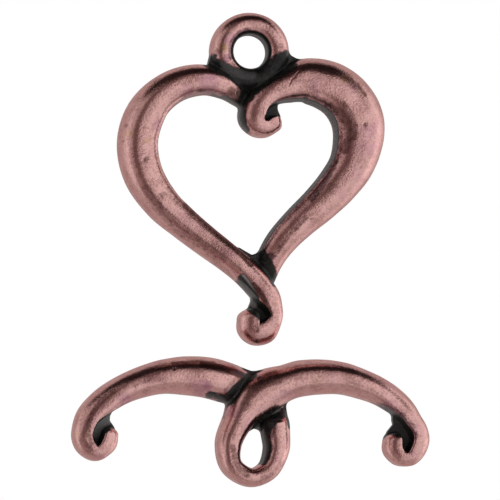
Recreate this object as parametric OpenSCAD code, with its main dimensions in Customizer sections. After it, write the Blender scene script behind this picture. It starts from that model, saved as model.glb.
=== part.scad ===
// Heart toggle clasp: a heart-shaped ring with an eyelet, and a toggle bar with a loop in its middle.
// Both lie on their flat backs, in millimetres, with the faces up and the heart above the bar.

/* [Cross-section] */
// Fullness of the side walls (2 is an ellipse, larger is squarer)
side_fullness = 2.8; // [2:0.1:4]
// Fullness of the crown (2 is an ellipse, larger is flatter)
crown_fullness = 2.2; // [2:0.1:4]
// Height of the upright foot of the side walls
foot_h = 0.15; // [0.05:0.05:0.4]
// Most that the dome rises for each millimetre of its half width
dome_rise = 1.95; // [1.5:0.05:2.5]

/* [Eyelet] */
// Radius of the eyelet hole
eyelet_bore_r = 1.15; // [0.8:0.05:1.3]
// Outer radius of the eyelet
eyelet_r = 2.65; // [2.4:0.05:3]
// Height of the eyelet
eyelet_h = 2.2; // [1.6:0.1:2.8]

/* [Webs] */
// Thickness of the metal that fills the throat below the eyelet
throat_h = 1.3; // [0.8:0.1:1.8]
// Thickness of the metal that closes the small recesses
recess_h = 0.9; // [0.5:0.1:1.4]

/* [Smoothness] */
// Steps between two rows of a strand table
steps_per_row = 4; // [2:1:4]
// Angle between the points of a cross-section
section_step = 15; // [10:5:30]

/* [Hidden] */
copper = [0.78, 0.56, 0.52];
cut_margin = 1; // how far the hole's cutter runs past both faces
casting_reach = 20; // half the side of the block that cuts the flat back
eyelet_x = -0.08;
eyelet_y = 13.2;
eyelet_facets = 48;
bore_stock = 0.1; // metal inside the hole's wall that the cutter takes away
below_back = 0.5; // depth below the back to which shapes run before the cut
tip_angles = [20, 40, 60, 78]; // stations round the quarter circle of a strand's tip

// A strand table has one row for each section along the strand.
X = 0; // place to the right
Y = 1; // place up the clasp
W = 2; // width of the section at the back
H = 3; // height of the section

// Left strand of the heart: out from under the scroll, round the lobe, down and into the tail curl
heart_left = [
//   X      Y      W    H
  [    0.2,   9.65,  1.2,  1.3],
  [   -0.7,  10.25,  1.4,  1.8],
  [   -1.7,  10.86, 1.62,  2.5],
  [  -3.15,  11.31, 2.02,  2.8],
  [  -4.85,     11, 2.25,  2.8],
  [  -6.28,  10.03, 2.46,  2.8],
  [  -7.18,   8.65, 2.69,  2.8],
  [  -7.55,   6.85,  2.7,  2.8],
  [  -7.12,   4.88,  2.6,  2.8],
  [  -5.92,   3.07, 2.35,  2.7],
  [  -4.42,   1.72, 2.12,  2.6],
  [  -2.95,   0.55, 1.96,  2.6],
  [  -1.55,   -0.5, 1.82,  2.7],
  [   -0.4,  -1.45, 1.76,  2.7],
  [   0.55,  -2.45, 1.74,  2.7],
  [   1.15,  -3.25, 1.65,  2.7],
  [   1.46,   -3.9, 1.24,  2.6],
  [   1.56,   -4.5,    1,  2.6],
  [   1.31,  -5.06, 1.26,  2.5],
  [   0.93,  -5.46, 1.63,  2.5],
  [   0.35,  -5.62,  1.5,  2.5],
  [   -0.1,  -5.25,  1.5,  2.5],
  [  -0.14,   -4.6, 1.42,  2.5]
];

// Right strand of the heart: scroll tip, round the lobe and down, ending under the left strand
heart_right = [
//   X      Y      W    H
  [   1.52,   8.38, 1.12,  2.5],
  [      1,   8.08, 1.14,  2.6],
  [   0.42,    8.2, 1.32,  2.7],
  [   0.08,   8.75, 1.75,  2.8],
  [    0.2,   9.45,  1.8,  2.8],
  [    0.7,   10.1, 1.75,  2.8],
  [   1.45,  10.55, 1.85,  2.8],
  [    2.4,  10.98, 2.33,  2.8],
  [   3.65,  11.34,    3,  2.8],
  [    5.1,  11.08, 3.33,  2.8],
  [    6.3,  10.34, 3.45,  2.8],
  [   7.13,   9.12, 3.53,  2.8],
  [   7.33,    7.7, 3.42,  2.8],
  [   6.91,   5.91, 3.06,  2.8],
  [   6.02,   4.53, 2.81,  2.7],
  [    4.8,    3.2, 2.55,  2.6],
  [   3.25,    1.8, 2.25,  2.5],
  [   2.05,    0.5, 2.05,  2.3],
  [    1.3,  -0.75, 1.85,  1.8],
  [    0.9,   -1.8,  1.7, 1.25]
];

// Right strand of the bar: curl, right arc, round the loop, ending under itself. The row at the foot of the
// loop is where its two runs meet, so that the strand can pass under itself.
bar_loop_row = 22;
bar_right = [
//   X      Y      W    H
  [   9.52, -12.73, 1.16,  2.4],
  [   9.53, -13.28,  1.2,  2.4],
  [    9.9,  -13.8, 1.03,  2.4],
  [  10.36, -13.91,    1,  2.4],
  [  10.75, -13.81, 1.08,  2.4],
  [  11.11, -13.34,  1.2, 2.45],
  [  11.32, -12.65, 1.25,  2.5],
  [   11.2,    -12, 1.25,  2.5],
  [   10.8, -11.35,  1.3, 2.55],
  [  10.35,  -10.7, 1.44,  2.6],
  [   9.71, -10.09, 1.63,  2.6],
  [   8.67,  -9.42, 1.79,  2.7],
  [   7.46,  -8.93, 1.96,  2.8],
  [   6.15,  -8.55, 2.15,  2.8],
  [    4.8,  -8.45, 2.35,  2.8],
  [   3.45,  -8.55, 2.45,  2.8],
  [   2.37,  -8.86, 2.48,  2.8],
  [   1.25,  -9.32, 2.92,  2.8],
  [      0, -10.16, 3.12,  2.8],
  [  -0.83, -11.38, 2.08,  2.8],
  [  -1.47,  -12.9, 1.73,  2.7],
  [  -1.28,  -14.4, 1.38,  2.6],
  [      0, -15.16,  1.3,  2.5],
  [   1.17, -14.62, 1.42,  2.5],
  [   1.72,  -13.3,  1.7,  2.5],
  [   1.68, -12.05, 1.92,  2.5],
  [    1.6, -11.42, 1.94, 2.45],
  [    1.5, -10.85, 1.95,  1.5],
  [    1.2,   -9.9, 1.85,    1]
];

// Left strand of the bar: out from under the loop, left arc and curl
bar_left = [
//   X      Y      W    H
  [   -0.2,  -9.27, 2.42,  1.7],
  [  -1.47,  -8.89, 2.72,  2.6],
  [  -2.85,  -8.52, 2.74,  2.8],
  [  -4.35,   -8.4,  2.6,  2.8],
  [  -5.85,  -8.48,  2.3,  2.8],
  [  -7.25,  -8.84,  2.1,  2.7],
  [  -8.55,  -9.37, 1.95,  2.7],
  [  -9.79, -10.13, 1.84,  2.6],
  [ -10.84, -11.08, 1.54,  2.5],
  [ -11.25,  -12.2, 1.35,  2.5],
  [ -11.15,  -12.9,  1.3,  2.4],
  [ -10.78, -13.38, 1.15,  2.4],
  [  -10.3, -13.57, 1.07,  2.4],
  [   -9.9, -13.36, 1.06,  2.4],
  [  -9.56, -12.95, 1.16,  2.4],
  [  -9.41, -12.37, 1.04,  2.4]
];

// Outlines of the webs, seen from above
throat_web = [
  [-2.75, 12.75], [-2.9, 12.2], [-1.4, 10.8], [0.1, 10.1], [1.2, 10.7], [3.3, 12.65], [2.75, 12.95], [0, 15]
];
scroll_web = [[0.6, 8.35], [0.9, 9.9], [1.8, 9.95], [1.85, 9.35], [2.05, 8.9], [1.9, 8.5], [1.5, 8.2]];
junction_web = [[-0.85, 0.15], [0.05, -0.35], [0.85, -0.1], [0.9, -1.5], [-0.4, -1.0]];
tail_web = [[0.1, -3.3], [1.2, -3.3], [1.3, -4.9], [-0.1, -5.1], [-0.2, -4.1]];
left_curl_web = [
  [-9.35, -10.9], [-10.4, -11.2], [-11.0, -13.0], [-10.0, -13.4], [-9.05, -12.3], [-9.1, -11.85], [-9.4, -11.4]
];
right_curl_web = [
  [9.6, -10.8], [10.4, -11.0], [11.0, -13.3], [10.0, -13.7], [9.1, -12.4], [9.25, -12.05], [9.62, -11.6],
  [9.55, -11.3]
];
loop_web = [
  [0.8, -9.8], [2.4, -10.0], [2.3, -12.0], [1.0, -12.1], [0.3, -11.9], [-0.3, -12.1], [-0.5, -11.0]
];
notch_web = [[-0.5, -8.0], [0.1, -8.12], [0.6, -8.1], [0.8, -9.0], [-0.7, -9.0]];

// Power that keeps the sign of its base
function signed_power(base, power) = sign(base) * pow(abs(base), power);

// Height of the upright foot of a section: a narrow strand has a low dome on upright walls
function foot_of(width, height) = max(foot_h, height - dome_rise * width / 2);

// Points of one cross-section, from the right of the foot over the crown to the left; the flat back is
// cut later
function section(width, height) =
  let (foot = foot_of(width, height))
  concat(
    [[width / 2, -below_back]],
    [for (a = [0 : section_step : 180]) [
      width / 2 * signed_power(cos(a), 2 / side_fullness),
      foot + (height - foot) * pow(max(sin(a), 0), 2 / crown_fullness)
    ]],
    [[-width / 2, -below_back]]
  );

// Row of a table, with the first and last rows carried on past its ends
function row(table, i) =
  i < 0 ? 2 * table[0] - table[1] :
  i > len(table) - 1 ? 2 * table[i - 1] - table[i - 2] :
  table[i];

// Values on the smooth curve through the rows, at row i and a fraction t towards the next
function between(table, i, t) =
  let (a = row(table, i - 1), b = row(table, i), c = row(table, i + 1), d = row(table, i + 2))
  (2 * b + (c - a) * t + (2 * a - 5 * b + 4 * c - d) * t * t + (3 * b - a - 3 * c + d) * t * t * t) / 2;

// All sections along a strand, as rows of the same columns
function along(table) = concat(
  [for (i = [0 : len(table) - 2], k = [0 : steps_per_row - 1]) between(table, i, k / steps_per_row)],
  [table[len(table) - 1]]
);

// Unit direction of the strand at section i
function heading(rows, i) =
  let (
    from = rows[max(i - 1, 0)],
    to = rows[min(i + 1, len(rows) - 1)],
    step = [to[X] - from[X], to[Y] - from[Y]]
  )
  step / norm(step);

// Points of the cross-section of a row, set across a direction
function placed_section(here, dir) =
  [for (p = section(here[W], here[H])) [here[X] + dir[1] * p[0], here[Y] - dir[0] * p[0], p[1]]];

// Rows that round off the end of a strand, going outwards from its last row
function rounding(end, dir) =
  let (foot = foot_of(end[W], end[H]))
  [for (a = tip_angles) [
    end[X] + dir[0] * sin(a) * end[W] / 2,
    end[Y] + dir[1] * sin(a) * end[W] / 2,
    end[W] * cos(a),
    foot + (end[H] - foot) * pow(cos(a), 2 / crown_fullness)
  ]];

// Items of a list in reverse order
function reversed(list) = [for (i = [len(list) - 1 : -1 : 0]) list[i]];

// Sections of a strand between two rows of its table, with a rounded tip at the table's own ends
function strand_sections(table, first, last) =
  let (
    rows = along(table),
    end = len(rows) - 1,
    start_dir = heading(rows, 0),
    end_dir = heading(rows, end)
  )
  concat(
    first > 0 ? [] : [for (r = reversed(rounding(rows[0], -start_dir))) placed_section(r, start_dir)],
    [for (i = [first * steps_per_row : last * steps_per_row]) placed_section(rows[i], heading(rows, i))],
    last * steps_per_row < end ? [] : [for (r = rounding(rows[end], end_dir)) placed_section(r, end_dir)]
  );

// Swept strand, whole or between two rows of its table
module strand(table, first = 0, last = undef) {
  sections = strand_sections(table, first, is_undef(last) ? len(table) - 1 : last);
  around = len(sections[0]);
  stations = len(sections);
  polyhedron(
    points = [for (s = sections) each s],
    faces = concat(
      [[for (j = [around - 1 : -1 : 0]) j]],
      [for (i = [0 : stations - 2], j = [0 : around - 1])
        let (k = (j + 1) % around, near = i * around, far = near + around)
        each [[near + j, near + k, far + k], [near + j, far + k, far + j]]],
      [[for (j = [0 : around - 1]) (stations - 1) * around + j]]
    )
  );
}

// Plate of metal at the back that closes a recess
module web(outline, height) {
  translate([0, 0, -below_back]) linear_extrude(height + below_back) polygon(outline);
}

// Parts joined into one casting with a flat back; the resize keeps its size and joins it as one faceted mesh
module casting() {
  resize([0, 0, 0]) difference() {
    union() children();
    translate([-casting_reach, -casting_reach, -2 * below_back])
      cube([2 * casting_reach, 2 * casting_reach, 2 * below_back]);
  }
}

// Ring of the eyelet, before its hole is cut
module eyelet_ring() {
  inner = eyelet_bore_r - bore_stock;
  width = eyelet_r - inner;
  translate([eyelet_x, eyelet_y, 0])
    rotate_extrude($fn = eyelet_facets)
      translate([inner + width / 2, 0])
        polygon(section(width, eyelet_h));
}

// Heart-shaped ring with its eyelet, one casting
module heart_ring() {
  color(copper) difference() {
    casting() {
      strand(heart_left);
      strand(heart_right);
      eyelet_ring();
      web(throat_web, throat_h);
      web(scroll_web, recess_h);
      web(junction_web, throat_h);
      web(tail_web, recess_h);
    }
    translate([eyelet_x, eyelet_y, -cut_margin])
      cylinder(r = eyelet_bore_r, h = eyelet_h + 2 * cut_margin, $fn = 96);
  }
}

// Toggle bar with its loop, one casting
module toggle_bar() {
  color(copper) casting() {
    strand(bar_right, last = bar_loop_row + 1);
    strand(bar_right, first = bar_loop_row);
    strand(bar_left);
    web(left_curl_web, recess_h);
    web(right_curl_web, recess_h);
    web(loop_web, recess_h);
    web(notch_web, throat_h);
  }
}

heart_ring();
toggle_bar();
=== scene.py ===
"""Heart toggle clasp in antiqued copper: two castings, their finish, the studio and the camera."""

import logging
import math
from dataclasses import dataclass, field
from enum import Enum
from typing import Sequence

import bpy
import numpy as np
from mathutils import Matrix, Vector


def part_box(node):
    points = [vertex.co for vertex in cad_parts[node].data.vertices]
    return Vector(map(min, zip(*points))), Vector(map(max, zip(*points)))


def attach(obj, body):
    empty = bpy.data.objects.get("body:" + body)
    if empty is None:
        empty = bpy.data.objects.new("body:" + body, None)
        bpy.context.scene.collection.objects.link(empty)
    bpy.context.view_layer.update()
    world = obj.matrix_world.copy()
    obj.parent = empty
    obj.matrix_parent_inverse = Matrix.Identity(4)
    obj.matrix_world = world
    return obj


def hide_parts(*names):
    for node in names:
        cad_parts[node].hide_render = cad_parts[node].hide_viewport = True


Array = np.ndarray
Row = tuple[float, float, float, float]
Point2 = tuple[float, float]
Band = tuple[float, float]
Colour = tuple[float, float, float]

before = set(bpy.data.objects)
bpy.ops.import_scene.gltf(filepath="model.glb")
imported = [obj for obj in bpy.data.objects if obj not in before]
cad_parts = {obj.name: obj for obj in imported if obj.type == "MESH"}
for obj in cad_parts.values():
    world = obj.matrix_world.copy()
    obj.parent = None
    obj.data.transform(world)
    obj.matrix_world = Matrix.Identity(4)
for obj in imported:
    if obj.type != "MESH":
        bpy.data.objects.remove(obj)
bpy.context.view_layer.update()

log = logging.getLogger("heart_clasp")
MM = 0.001
# Points round a circle, and small values that keep divisions safe
RING_STEPS = 32
LEAST_REACH = 1e-6
LEAST_SHARE = 1e-4
LEAST_LENGTH = 1e-9


# Small helpers on arrays
def smoothstep(low: float, high: float, value: Array) -> Array:
    """Returns 0 below low, 1 above high and a smooth rise between."""
    part = np.clip((value - low) / (high - low), 0.0, 1.0)
    return part * part * (3.0 - 2.0 * part)


def mix(first: Array | float, second: Array | float, share: Array) -> Array:
    """Returns first where share is 0, second where it is 1."""
    return first + (second - first) * share


def smooth_min(first: Array, second: Array, reach: Array | float) -> Array:
    """Joins two solids with a fillet.

    Args:
        first: depths in one solid, negative inside.
        second: depths in the other solid.
        reach: difference of depths over which the fillet acts.

    Returns:
        The depths in the joined solid.
    """
    near = np.clip(1.0 - np.abs(first - second) / np.maximum(reach, LEAST_REACH), 0.0, 1.0)
    return np.minimum(first, second) - near * near * reach * 0.25


def smooth_max(first: Array, second: Array, reach: float) -> Array:
    """Returns the depths in the solid that two solids share, with its edge eased."""
    return -smooth_min(-first, -second, reach)


def polyline_distance(points: Array, line: Sequence[Point2]) -> Array:
    """Distance of each point from an open line, seen from above.

    Args:
        points: places seen from above.
        line: the corners of the line.

    Returns:
        The distances.
    """
    nearest = np.full(len(points), np.inf)
    corners = np.array(line, float)
    for start, end in zip(corners[:-1], corners[1:]):
        leg = end - start
        share = np.clip(((points - start) @ leg) / (leg @ leg), 0.0, 1.0)
        gap = points - start - share[:, None] * leg
        nearest = np.minimum(nearest, np.hypot(gap[:, 0], gap[:, 1]))
    return nearest


def in_reach(points: Array, line: Sequence[Point2], reach: float) -> Array:
    """Finds the points in the upright box round a line.

    Args:
        points: places seen from above.
        line: the corners of the line.
        reach: how far the box stands off the line.

    Returns:
        True for each point in the box.
    """
    corners = np.array(line, float)
    low, high = corners.min(0) - reach, corners.max(0) + reach
    return ((points > low) & (points < high)).all(1)


def ring(centre: Point2, radius: float) -> list[Point2]:
    """Lays points round a circle.

    Args:
        centre: the middle of the circle.
        radius: its radius.

    Returns:
        The points, the first one again at the end.
    """
    x, y = centre
    angles = [2.0 * math.pi * step / RING_STEPS for step in range(RING_STEPS + 1)]
    return [(x + radius * math.cos(angle), y + radius * math.sin(angle)) for angle in angles]


def waves(points: Array, length: float) -> Array:
    """Returns a slow irregular swell between about -1 and 1.

    Args:
        points: places in millimetres.
        length: typical distance between two crests in millimetres.

    Returns:
        The swell at each place.
    """
    turn = 2.0 * math.pi / length
    x, y, z = points.T * turn
    return 0.4 * (
        np.sin(0.9 * x + 0.5 * y + 0.3 * z + 1.0)
        + np.sin(-0.4 * x + 1.1 * y - 0.5 * z + 2.5)
        + np.sin(1.3 * x - 0.8 * y + 0.7 * z + 4.0) * 0.7
        + np.sin(0.3 * x + 0.7 * y + 1.2 * z + 5.2) * 0.6
    )


# Forms that a casting is modelled from
class Hollow(Enum):
    """Side of a strand, seen along its run, that faces the hole or curl it goes round."""

    LEFT = 1.0
    RIGHT = -1.0


@dataclass(frozen=True)
class Flank:
    """One side of a strand's section, from the crown down to the back.

    fullness and crown are the powers of its curve, base is the least share of the height that stands
    upright, rise the most that the dome rises for its width, curled the same in a tight curl, and lean
    the draft of the upright wall.
    """

    fullness: float
    crown: float
    base: float
    rise: float
    curled: float
    lean: float


OUTER_FLANK = Flank(fullness=2.8, crown=2.2, base=0.05, rise=1.95, curled=1.2, lean=0.0)
BROAD_FLANK = Flank(fullness=3.2, crown=2.2, base=0.05, rise=1.95, curled=1.2, lean=0.0)
HOLLOW_FLANK = Flank(fullness=2.9, crown=2.2, base=0.42, rise=1.3, curled=0.9, lean=0.06)
PLAIN_FLANK = Flank(fullness=2.8, crown=2.2, base=0.15, rise=1.95, curled=0.9, lean=0.03)

# The crest's shift towards the hollow in a curl, and the blend of the flanks each side of it, in half widths
CREST_SHIFT = 0.6
CREST_BLEND = 0.6
# Fillet between the dome and the upright wall, and the least slope that depths are measured with
WALL_FILLET = 0.05
LEAST_SLOPE = 0.2
# Rows over which a bend tightens into a curl, rows each side of a change of hollow, samples in a tip
CURL_RAMP = 3.0
TURN_RAMP = 1.5
TIP_REACH = 50
# Half width over bend radius, from a slow bend to a tight curl
TIGHTNESS: Band = (0.3, 0.8)
# Points placed at a time, and legs of the course searched each side of the nearest sample
BATCH = 50000
LEGS_SEARCHED = 3
# How a web's plan is searched, in millimetres
WEB_SEARCH = 1.0
OUT_OF_REACH = 2.0
# Shares of a mark's radius and of a stroke's half width over which its edge fades
MARK_EDGE: Band = (0.5, 1.3)
STROKE_EDGE: Band = (0.6, 1.35)
SCORE_EDGE = 3.0


@dataclass
class Plan:
    """Points seen from above, as one form sees them.

    reach is the distance from the form's middle line, side the part of it across the form, positive
    towards the hollow, half and height the section's half width and height there, curl is 1 where the
    form curls tightly, and near is the sample that the point is nearest to.
    """

    reach: Array
    side: Array | None = None
    half: Array | float = 0.0
    height: Array | float = 0.0
    curl: Array | float = 0.0
    near: Array | None = None

    def only(self, kept: Array) -> "Plan":
        """Returns the plan of the points that are kept."""
        values = (value[kept] if isinstance(value, Array) else value for value in vars(self).values())
        return Plan(*values)


def section_depth(plan: Plan, z: Array, outer: Flank, hollow: Flank) -> Array:
    """Depth of points in a domed section whose two flanks differ.

    Args:
        plan: where the points lie across the section.
        z: their heights above the back.
        outer: the flank that faces away from the hollow.
        hollow: the flank that faces the hollow.

    Returns:
        The depths, negative inside.
    """
    crest = CREST_SHIFT * plan.half * plan.curl
    past = plan.side - crest
    share = smoothstep(-CREST_BLEND, CREST_BLEND, past / plan.half)
    power = mix(outer.fullness, hollow.fullness, share)
    crown = mix(outer.crown, hollow.crown, share)
    wide = np.where(past > 0.0, plan.half - crest, plan.half + crest)
    outer_rise = mix(outer.rise, outer.curled, plan.curl) * (plan.half + crest)
    hollow_rise = mix(hollow.rise, hollow.curled, plan.curl) * (plan.half - crest)
    room = plan.height * (1.0 - mix(outer.base, hollow.base, share))
    tall = np.minimum(room, mix(outer_rise, hollow_rise, share))
    base = plan.height - tall
    along = np.maximum(plan.reach**2 - plan.side**2, 0.0)
    across = np.maximum(np.sqrt((past / wide) ** 2 + along / plan.half**2), LEAST_SHARE)
    up = np.maximum((z - base) / tall, LEAST_SHARE)
    mean = 0.5 * (power + crown)
    total = across**power + up**crown
    slope = np.hypot(power * across ** (power - 1.0) / wide, crown * up ** (crown - 1.0) / tall)
    gauge = total ** (1.0 / mean)
    dome = (gauge - 1.0) / np.maximum(gauge / total / mean * slope, LEAST_SLOPE)
    wall = plan.reach - plan.half + mix(outer.lean, hollow.lean, share) * z
    return smooth_max(dome, wall, WALL_FILLET)


@dataclass
class Strand:
    """Tapering strand that follows a smooth course, from rows of x, y, width and height.

    hollow is the side that faces the hole or curl, and changes at turn_row. The strand curls tightly up to
    the row curl_end and from the row curl_start on. sooted is how black the wall facing the hollow stays.
    first and last are the rows that the strand runs between.
    """

    rows: Sequence[Row]
    hollow: Hollow
    turn_row: float = 999.0
    curl_end: float = -999.0
    curl_start: float = 999.0
    sooted: float = 1.0
    first: int = 0
    last: int | None = None
    steps: int = 20
    outer_flank: Flank = OUTER_FLANK
    hollow_flank: Flank = HOLLOW_FLANK
    course: Array = field(init=False)
    curl: Array = field(init=False)

    def __post_init__(self) -> None:
        """Works out the course through the rows."""
        table = np.array(self.rows, float)
        last = len(table) - 1 if self.last is None else self.last
        padded = np.vstack([2 * table[0] - table[1], table, 2 * table[-1] - table[-2]])
        course = []
        for row in range(self.first, last):
            a, b, c, d = padded[row : row + 4]
            for step in range(self.steps):
                t = step / self.steps
                bend = 2 * a - 5 * b + 4 * c - d
                twist = 3 * b - a - 3 * c + d
                course.append((2 * b + (c - a) * t + bend * t**2 + twist * t**3) / 2)
        course.append(table[last])
        self.course = np.array(course)
        self.curl = self._curl()

    def _curl(self) -> Array:
        """Finds where the strand curls tightly.

        Returns:
            1 at samples in tight curls and in the tips that follow them, 0 on slow bends.
        """
        run = np.gradient(self.course[:, :2], axis=0)
        length = np.hypot(run[:, 0], run[:, 1])
        turn = np.abs(np.gradient(np.unwrap(np.arctan2(run[:, 1], run[:, 0])))) / length
        padded = np.pad(turn, self.steps, mode="edge")
        turn = np.convolve(padded, np.ones(2 * self.steps + 1) / (2 * self.steps + 1), mode="valid")
        curl = smoothstep(*TIGHTNESS, turn * self.course[:, 2] / 2)
        for tip in (curl[:TIP_REACH], curl[-TIP_REACH:][::-1]):
            tip[:] = np.maximum.accumulate(tip[::-1])[::-1]
        place = self.first + np.arange(len(curl)) / self.steps
        opening = 1.0 - smoothstep(self.curl_end, self.curl_end + CURL_RAMP, place)
        closing = smoothstep(self.curl_start - CURL_RAMP, self.curl_start, place)
        return np.maximum(curl, np.maximum(opening, closing))

    def nearest(self, points: Array) -> Array:
        """Finds the sample of the course that each point is nearest to.

        Args:
            points: places seen from above.

        Returns:
            The numbers of the samples.
        """
        found = np.empty(len(points), int)
        course = self.course[:, :2].astype(np.float32)
        weight = (course**2).sum(1)
        for start in range(0, len(points), BATCH):
            part = points[start : start + BATCH].astype(np.float32)
            found[start : start + BATCH] = np.argmin(weight - 2.0 * part @ course.T, 1)
        return found

    def plan(self, points: Array, near: Array | None = None) -> Plan:
        """Places points across the strand.

        Args:
            points: places seen from above.
            near: samples found before for points close to these.

        Returns:
            The plan of the points.
        """
        near = self.nearest(points) if near is None else near
        count = len(self.course) - 1
        best = np.full(len(points), np.inf)
        index = np.zeros(len(points), int)
        share = np.zeros(len(points))
        for shift in range(-LEGS_SEARCHED, LEGS_SEARCHED):
            leg_index = np.clip(near + shift, 0, count - 1)
            start = self.course[leg_index, :2]
            leg = self.course[leg_index + 1, :2] - start
            part = np.clip(((points - start) * leg).sum(1) / (leg * leg).sum(1), 0.0, 1.0)
            gap = points - start - part[:, None] * leg
            length = (gap * gap).sum(1)
            closer = length < best
            best = np.where(closer, length, best)
            index = np.where(closer, leg_index, index)
            share = np.where(closer, part, share)
        start, end = self.course[index], self.course[index + 1]
        here = start + (end - start) * share[:, None]
        leg = end[:, :2] - start[:, :2]
        gap = points - here[:, :2]
        cross = (leg[:, 0] * gap[:, 1] - leg[:, 1] * gap[:, 0]) / np.hypot(leg[:, 0], leg[:, 1])
        place = self.first + (index + share) / self.steps
        curl = mix(self.curl[index], self.curl[index + 1], share)
        turned = smoothstep(self.turn_row - TURN_RAMP, self.turn_row + TURN_RAMP, place)
        sign = self.hollow.value * (1.0 - 2.0 * turned)
        return Plan(np.sqrt(best), cross * sign, here[:, 2] / 2, here[:, 3], curl, near)

    def depth(self, plan: Plan, z: Array) -> Array:
        """Returns the depths of planned points at heights z."""
        return section_depth(plan, z, self.outer_flank, self.hollow_flank)


@dataclass
class Web:
    """Plate of metal at the back that closes a recess."""

    outline: Sequence[Point2]
    thickness: float
    edge: float = 0.1

    def plan(self, points: Array, near: Array | None = None) -> Plan:
        """Measures how far points are outside the outline.

        Args:
            points: places seen from above.
            near: not needed here.

        Returns:
            The plan of the points.
        """
        closed = [*self.outline, self.outline[0]]
        reach = np.full(len(points), OUT_OF_REACH)
        close = in_reach(points, self.outline, WEB_SEARCH)
        distance = polyline_distance(points[close], closed)
        inside = np.zeros(len(distance), bool)
        x, y = points[close].T
        for (ax, ay), (bx, by) in zip(closed[:-1], closed[1:]):
            if ay != by:
                inside ^= ((ay > y) != (by > y)) & (x < (bx - ax) * (y - ay) / (by - ay) + ax)
        reach[close] = np.where(inside, -distance, distance)
        return Plan(reach)

    def depth(self, plan: Plan, z: Array) -> Array:
        """Returns the depths of planned points at heights z."""
        return smooth_max(plan.reach, z - self.thickness, self.edge)


EYELET_CENTRE: Point2 = (-0.08, 13.2)
EYELET_BORE = 1.15


@dataclass
class Eyelet:
    """Domed ring round the hole that takes the wearer's jump ring.

    bore and radius are those of the hole and the outside, inner is where the dome would end over the hole,
    and sooted is how black the hole's wall stays.
    """

    centre: Point2 = EYELET_CENTRE
    bore: float = EYELET_BORE
    radius: float = 2.65
    height: float = 2.2
    inner: float = 1.0
    sooted: float = 1.0

    def plan(self, points: Array, near: Array | None = None) -> Plan:
        """Places points across the ring.

        Args:
            points: places seen from above.
            near: not needed here.

        Returns:
            The plan of the points.
        """
        middle = (self.radius + self.inner) / 2
        out = np.hypot(points[:, 0] - self.centre[0], points[:, 1] - self.centre[1])
        half = np.full(len(points), (self.radius - self.inner) / 2)
        return Plan(np.abs(out - middle), middle - out, half, np.full(len(points), self.height))

    def depth(self, plan: Plan, z: Array) -> Array:
        """Returns the depths of planned points at heights z."""
        return section_depth(plan, z, OUTER_FLANK, OUTER_FLANK)


Form = Strand | Web | Eyelet


# Marks on the face of a casting
@dataclass(frozen=True)
class Mark:
    """Spot or patch on the face of a casting, round or stretched along a line at an angle in degrees."""

    x: float
    y: float
    radius: float
    strength: float = 1.0
    stretch: float = 1.0
    angle: float = 0.0

    def cover(self, points: Array) -> Array:
        """Works out how strongly the mark covers points.

        Args:
            points: places seen from above.

        Returns:
            A value for each point, from 0 to the strength.
        """
        turn = math.radians(self.angle)
        dx, dy = points[:, 0] - self.x, points[:, 1] - self.y
        along = (dx * math.cos(turn) + dy * math.sin(turn)) / self.stretch
        across = dy * math.cos(turn) - dx * math.sin(turn)
        return self.strength * (1.0 - smoothstep(*MARK_EDGE, np.hypot(along, across) / self.radius))


@dataclass(frozen=True)
class Stroke:
    """Brush stroke of finish along a line on the face of a casting, with its half width."""

    line: Sequence[Point2]
    half: float
    strength: float = 1.0

    def cover(self, points: Array) -> Array:
        """Works out how strongly the stroke covers points.

        Args:
            points: places seen from above.

        Returns:
            A value for each point, from 0 to the strength.
        """
        share = np.zeros(len(points))
        near = in_reach(points, self.line, STROKE_EDGE[1] * self.half)
        distance = polyline_distance(points[near], self.line)
        share[near] = self.strength * (1.0 - smoothstep(*STROKE_EDGE, distance / self.half))
        return share


@dataclass(frozen=True)
class Score:
    """Thin groove scored in the face of a casting, and how brown its bottom is, as stain and painted shade.
    """

    line: Sequence[Point2]
    width: float
    depth: float
    stain: float = 0.0

    def cover(self, points: Array) -> Array:
        """Works out how strongly the groove covers points.

        Args:
            points: places seen from above.

        Returns:
            A value for each point, from 0 to 1 on the line itself.
        """
        share = np.zeros(len(points))
        near = in_reach(points, self.line, SCORE_EDGE * self.width)
        share[near] = np.exp(-((polyline_distance(points[near], self.line) / self.width) ** 2))
        return share


# Turning depths into a mesh
CORNERS = [(0, 0, 0), (1, 0, 0), (0, 1, 0), (1, 1, 0), (0, 0, 1), (1, 0, 1), (0, 1, 1), (1, 1, 1)]
EDGES = [(0, 1), (2, 3), (4, 5), (6, 7), (0, 2), (1, 3), (4, 6), (5, 7), (0, 4), (1, 5), (2, 6), (3, 7)]
# The grid: margin round the piece, layers under the back, and the trial that leaves out empty columns
GRID_MARGIN = 0.3
LAYERS_BELOW = 2.5
TRIAL_HEIGHT = 0.5
TRIAL_DEPTH = 0.3
OPEN_AIR = 1.0
# Probes of the slope, and how the points are moved onto the surface
PROBE_REACH = 0.01
PROBES = np.array([(1, -1, -1), (-1, -1, 1), (-1, 1, -1), (1, 1, 1)], float)
SETTLE_ROUNDS = 3
LONGEST_MOVE = 0.05
LEAST_SQUARED_SLOPE = 0.1
# Relief fades towards the back, and a slow swell keeps the face from looking machined
RELIEF_RISE: Band = (0.5, 1.2)
SWELL_RISE: Band = (0.1, 0.6)
SWELL_DEPTH = 0.006
SWELL_LENGTH = 1.7


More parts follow.
